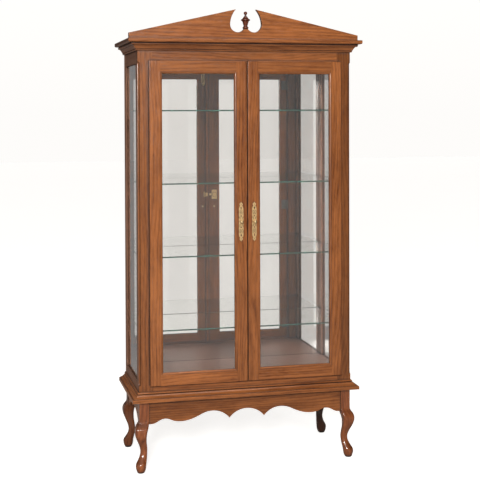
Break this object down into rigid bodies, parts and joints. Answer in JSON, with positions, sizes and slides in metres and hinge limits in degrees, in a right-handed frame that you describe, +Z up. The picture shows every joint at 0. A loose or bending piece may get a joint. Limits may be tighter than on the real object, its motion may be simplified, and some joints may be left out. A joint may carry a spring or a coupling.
{
  "type": "display case",
  "caption": "Tall wooden curio display case with glazed double doors, mirrored back, glass shelves, broken-arch pediment with urn finial and scalloped base on cabriole legs",
  "frame": {"origin": "bottom centre of the whole case's bounding box, on the floor", "axes": "+X to the viewer's right, +Y from the doors to the back, +Z up"},
  "size_m": [1.054, 0.4672, 2.0145],
  "materials": {
    "carcass_wood": "satin",
    "side_wood": "satin",
    "door_wood": "satin",
    "clear_glass": "polished",
    "shelf_glass": "polished",
    "silvered_mirror": "polished",
    "brass_hardware": "polished",
    "plated_steel": "brushed",
    "back_board": "matte"
  },
  "bodies": {
    "case": {"apron_front": "carcass_wood", "apron_rear": "side_wood", "apron_sides": "side_wood", "back_panel": "back_board", "base_moulding": "carcass_wood", "case_floor": "carcass_wood", "cornice_cap": "carcass_wood", "crown_moulding": "carcass_wood", "face_rail_bottom": "carcass_wood", "face_rail_top": "carcass_wood", "face_stile_left": "carcass_wood", "face_stile_right": "carcass_wood", "finial": "carcass_wood", "glass_shelf_1": "shelf_glass", "glass_shelf_2": "shelf_glass", "glass_shelf_3": "shelf_glass", "glass_shelf_4": "shelf_glass", "hinge_plates": "plated_steel", "leg_front_left": "carcass_wood", "leg_front_right": "carcass_wood", "leg_rear_left": "carcass_wood", "leg_rear_right": "carcass_wood", "mirror": "silvered_mirror", "pediment_board": "carcass_wood", "shelf_supports": "plated_steel", "side_front_stile_left": "side_wood", "side_front_stile_right": "side_wood", "side_glass_left": "clear_glass", "side_glass_right": "clear_glass", "side_glass_stops": "side_wood", "side_rail_bottom_left": "side_wood", "side_rail_bottom_right": "side_wood", "side_rail_top_left": "side_wood", "side_rail_top_right": "side_wood", "side_rear_stile_left": "side_wood", "side_rear_stile_right": "side_wood"},
    "left_door": {"left_door_bottom_rail": "door_wood", "left_door_glass": "clear_glass", "left_door_glass_stops": "door_wood", "left_door_hinge_cups": "plated_steel", "left_door_hinge_stile": "door_wood", "left_door_knob": "brass_hardware", "left_door_meeting_stile": "door_wood", "left_door_meeting_strip": "door_wood", "left_door_pull_plate": "brass_hardware", "left_door_top_rail": "door_wood", "bolt_guide": "brass_hardware", "lock_strike": "brass_hardware"},
    "right_door": {"right_door_bottom_rail": "door_wood", "right_door_glass": "clear_glass", "right_door_glass_stops": "door_wood", "right_door_hinge_cups": "plated_steel", "right_door_hinge_stile": "door_wood", "right_door_knob": "brass_hardware", "right_door_meeting_stile": "door_wood", "right_door_pull_plate": "brass_hardware", "right_door_top_rail": "door_wood", "lock_case": "brass_hardware"},
    "slide_bolt": {"slide_bolt": "brass_hardware"},
    "lock_bolt": {"lock_bolt": "brass_hardware"}
  },
  "joints": [
    {"name": "left_door_hinge", "type": "hinge", "parent": "case", "child": "left_door", "pos_m": [-0.435, -0.19508, 1.0825], "axis": [0, 0, -1], "range_deg": [0, 110]},
    {"name": "right_door_hinge", "type": "hinge", "parent": "case", "child": "right_door", "pos_m": [0.435, -0.19508, 1.0825], "axis": [0, 0, 1], "range_deg": [0, 110]},
    {"name": "slide_bolt_travel", "type": "slide", "parent": "left_door", "child": "slide_bolt", "axis": [0, 0, 1], "range_m": [0, 0.012]},
    {"name": "lock_bolt_travel", "type": "slide", "parent": "right_door", "child": "lock_bolt", "axis": [-1, 0, 0], "range_m": [0, 0.011]}
  ]
}
